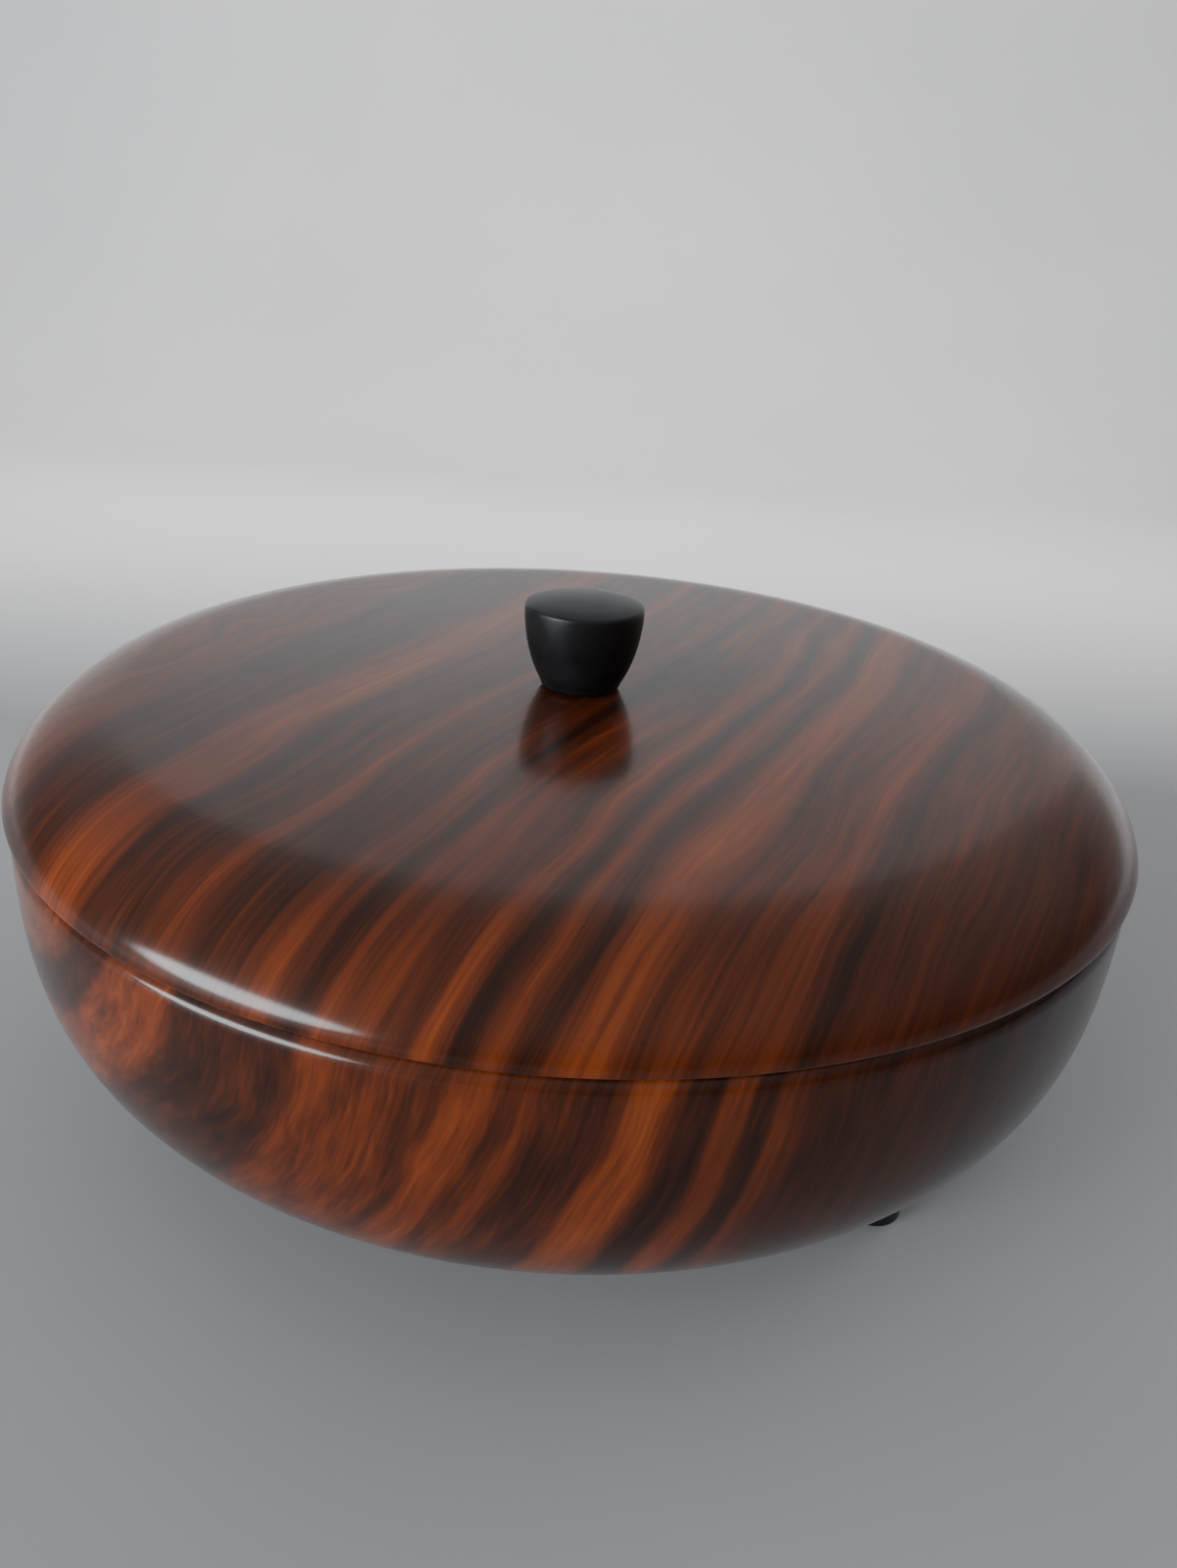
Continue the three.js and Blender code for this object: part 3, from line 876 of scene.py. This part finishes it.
def make_foot(number):
    low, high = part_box(f"foot_{number}")
    pad_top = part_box(f"foot_pad_{number}")[1].z
    top_radius = half_width(f"foot_{number}")
    pad_hole = half_width(f"foot_pad_{number}") + FIT_GAP
    counterbore = half_width(f"foot_screw_{number}") + HEAD_CLEARANCE
    hole = FOOT_SCREW_RADIUS + SCREW_CLEARANCE
    screw_seat = high.z - FOOT_GRIP
    recess_top = pad_top + SEAT_GAP
    ease_centre = FOOT_BOTTOM_RADIUS - FOOT_BOTTOM_EASE
    section = [(pad_hole, low.z)]
    section += arc(ease_centre, low.z + FOOT_BOTTOM_EASE, FOOT_BOTTOM_EASE, -90, 0, steps=6)
    top_centre = top_radius - FOOT_TOP_EASE
    section += arc(top_centre, high.z - FOOT_TOP_EASE, FOOT_TOP_EASE, 0, 90, steps=4)
    section += [(hole, high.z), (hole, screw_seat), (counterbore, screw_seat)]
    section += [(counterbore, recess_top), (pad_hole, recess_top)]
    centre = middle(f"foot_{number}")
    return turned(f"peg_foot_{number}", section, SMALL_TURNS, closed=True, centre=centre)


def make_pad(number):
    low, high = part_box(f"foot_pad_{number}")
    radius = half_width(f"foot_pad_{number}")
    section = [(0, low.z)]
    section += arc(radius - PAD_EASE, low.z + PAD_EASE, PAD_EASE, -90, 0, steps=5)
    section += [(radius - PAD_TAPER, high.z), (0, high.z)]
    return turned(f"pad_{number}", section, SMALL_TURNS, centre=middle(f"foot_pad_{number}"))


for number in FOOT_NUMBERS:
    centre = middle(f"foot_{number}")
    foot = make_foot(number)
    foot.data.materials.append(satin_black(f"satin_black_foot_{number}", centre))
    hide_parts(f"foot_{number}")
    pad = make_pad(number)
    pad.data.materials.append(felt.material)
    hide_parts(f"foot_pad_{number}")
    node = f"foot_screw_{number}"
    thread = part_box(node)[1].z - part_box(f"foot_{number}")[1].z - SEAT_GAP
    bolt = screw(f"foot_bolt_{number}", node, FOOT_SCREW_RADIUS, FOOT_SCREW_HEAD, thread)
    bolt.data.materials.clear()
    foot_steel = turned_metal(
        f"zinc_steel_foot_{number}", STEEL, DULL_STEEL, centre, STEEL_ROUGHNESS)
    bolt.data.materials.append(foot_steel)
    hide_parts(node)
    for piece in (foot, pad, bolt):
        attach(piece, "bowl")
print("feet:", len(FOOT_NUMBERS))

# %% [markdown]
# ## Floor and backdrop
#
# One sheet does both jobs: it lies flat under the bowl and curves up behind it, so that no line
# shows where floor and wall meet. It is pale, and matt enough not to mirror the bowl. The wall is
# far enough back for the camera to walk all the way round the bowl without meeting it.

# %% The floor and backdrop
WALL_AT = 1.3
WALL_HEIGHT = 0.95
WALL_CURVE = 0.5
STAGE_HALF_WIDTH = 2.6
FLOOR_FRONT = -2.6
SHEET_GREY = (0.38, 0.385, 0.40)
SHEET_PALE = (0.41, 0.415, 0.43)


def sheet_finish():
    sheet = Finish("backdrop")
    x, y, z = sheet.millimetres()
    drift = sheet.noise(sheet.vector(x, y, z), scale=0.004, detail=3)
    colour = sheet.colours(drift, [(0.3, SHEET_GREY), (0.7, SHEET_PALE)])
    sheet.paint(Base_Color=colour, Roughness=0.8 + drift * 0.1, Specular_IOR_Level=0.2)
    return sheet.material


profile = [(FLOOR_FRONT, 0)]
profile += arc(WALL_AT - WALL_CURVE, WALL_CURVE, WALL_CURVE, -90, 0, steps=24)
profile += [(WALL_AT, WALL_HEIGHT)]
points = [(side, y, z) for y, z in profile for side in (-STAGE_HALF_WIDTH, STAGE_HALF_WIDTH)]
faces = [(2 * i, 2 * i + 1, 2 * i + 3, 2 * i + 2) for i in range(len(profile) - 1)]
sheet_data = bpy.data.meshes.new("backdrop")
sheet_data.from_pydata(points, [], faces)
sheet_data.shade_smooth()
backdrop = bpy.data.objects.new("backdrop", sheet_data)
bpy.context.collection.objects.link(backdrop)
sheet_data.materials.append(sheet_finish())

# %% [markdown]
# ## Light
#
# One broad, low, soft light stands to the front left, as a window does. It draws a long bright
# line on the lid's edge and another on the rim just below. A second light washes the wall
# behind, and the pale wall then shows as a veil over the far half of the lacquered lid. Two weak
# lights fill in the front left and the back right. They are kept out of mirrored views, so they
# brighten the wood without adding patches to the lacquer.

# %% The lights
DAYLIGHT = (0.88, 0.95, 1.0)
WARM_WHITE = (1, 0.98, 0.95)

WINDOW_TURN = 54  # degrees from the front towards the left
WINDOW_HEIGHT = 7  # degrees above level
WINDOW_DISTANCE = 1.5
WINDOW_SIZE = (1.15, 0.36)
WINDOW_POWER = 29
WASH_PLACE = Vector((-0.1, 0.42, 0.48))
WASH_DIRECTION = Vector((0, 1, -0.45))
WASH_SIZE = (1.6, 0.3)
WASH_POWER = 17
FILL_PLACE = Vector((-1.3, -1.0, 0.55))
FILL_SIZE = (1.2, 1.2)
FILL_POWER = 6.5
BACK_PLACE = Vector((1.25, 0.95, 0.5))
BACK_SIZE = (1.2, 0.8)
BACK_POWER = 8


def soft_light(name, place, aim, size, power, colour):
    data = bpy.data.lights.new(name, "AREA")
    data.shape = "ELLIPSE"
    data.size, data.size_y = size
    data.energy = power
    data.color = colour
    light = bpy.data.objects.new(name, data)
    bpy.context.collection.objects.link(light)
    turn = (place - aim).to_track_quat("Z", "Y")
    light.matrix_world = Matrix.Translation(place) @ turn.to_matrix().to_4x4()
    return light


around, above = math.radians(WINDOW_TURN), math.radians(WINDOW_HEIGHT)
aim = Vector((0, 0, RIM_HEIGHT))
towards_left = -math.sin(around) * math.cos(above)
towards_front = -math.cos(around) * math.cos(above)
to_window = Vector((towards_left, towards_front, math.sin(above)))
window_place = aim + to_window * WINDOW_DISTANCE
soft_light("window", window_place, aim, WINDOW_SIZE, WINDOW_POWER, DAYLIGHT)
soft_light("wall_wash", WASH_PLACE, WASH_PLACE + WASH_DIRECTION, WASH_SIZE, WASH_POWER, WARM_WHITE)
fill = soft_light("fill", FILL_PLACE, aim, FILL_SIZE, FILL_POWER, WARM_WHITE)
fill.visible_glossy = False
back = soft_light("back", BACK_PLACE, aim, BACK_SIZE, BACK_POWER, WARM_WHITE)
back.visible_glossy = False
print("window at", [round(v, 2) for v in window_place])

# %% [markdown]
# The room itself gives the rest: dark at the level of the table, and brighter towards the
# ceiling. It has no edges, so the lacquer mirrors it as a soft change and not as a shape.

# %% The room's glow
GLOW_LOW = (0.1, 0.08)  # share of the way up, and brightness
GLOW_HIGH = (0.65, 0.58)
GLOW_TINT = (0.96, 0.99, 1)

world = bpy.data.worlds.new("room")
world.use_nodes = True
room = Nodes(world.node_tree)
direction = room.node("ShaderNodeTexCoord", out="Generated")
upwards = room.node("ShaderNodeSeparateXYZ", sockets={"Vector": direction}, out="Z")
glow_stops = []
for height, brightness in (GLOW_LOW, GLOW_HIGH):
    glow_stops.append((height, tuple(brightness * tint for tint in GLOW_TINT)))
glow = room.colours(upwards, glow_stops)
room.set_sockets(room.tree.nodes["Background"], {"Color": glow})
bpy.context.scene.world = world
print("brightest glow:", GLOW_HIGH[1])
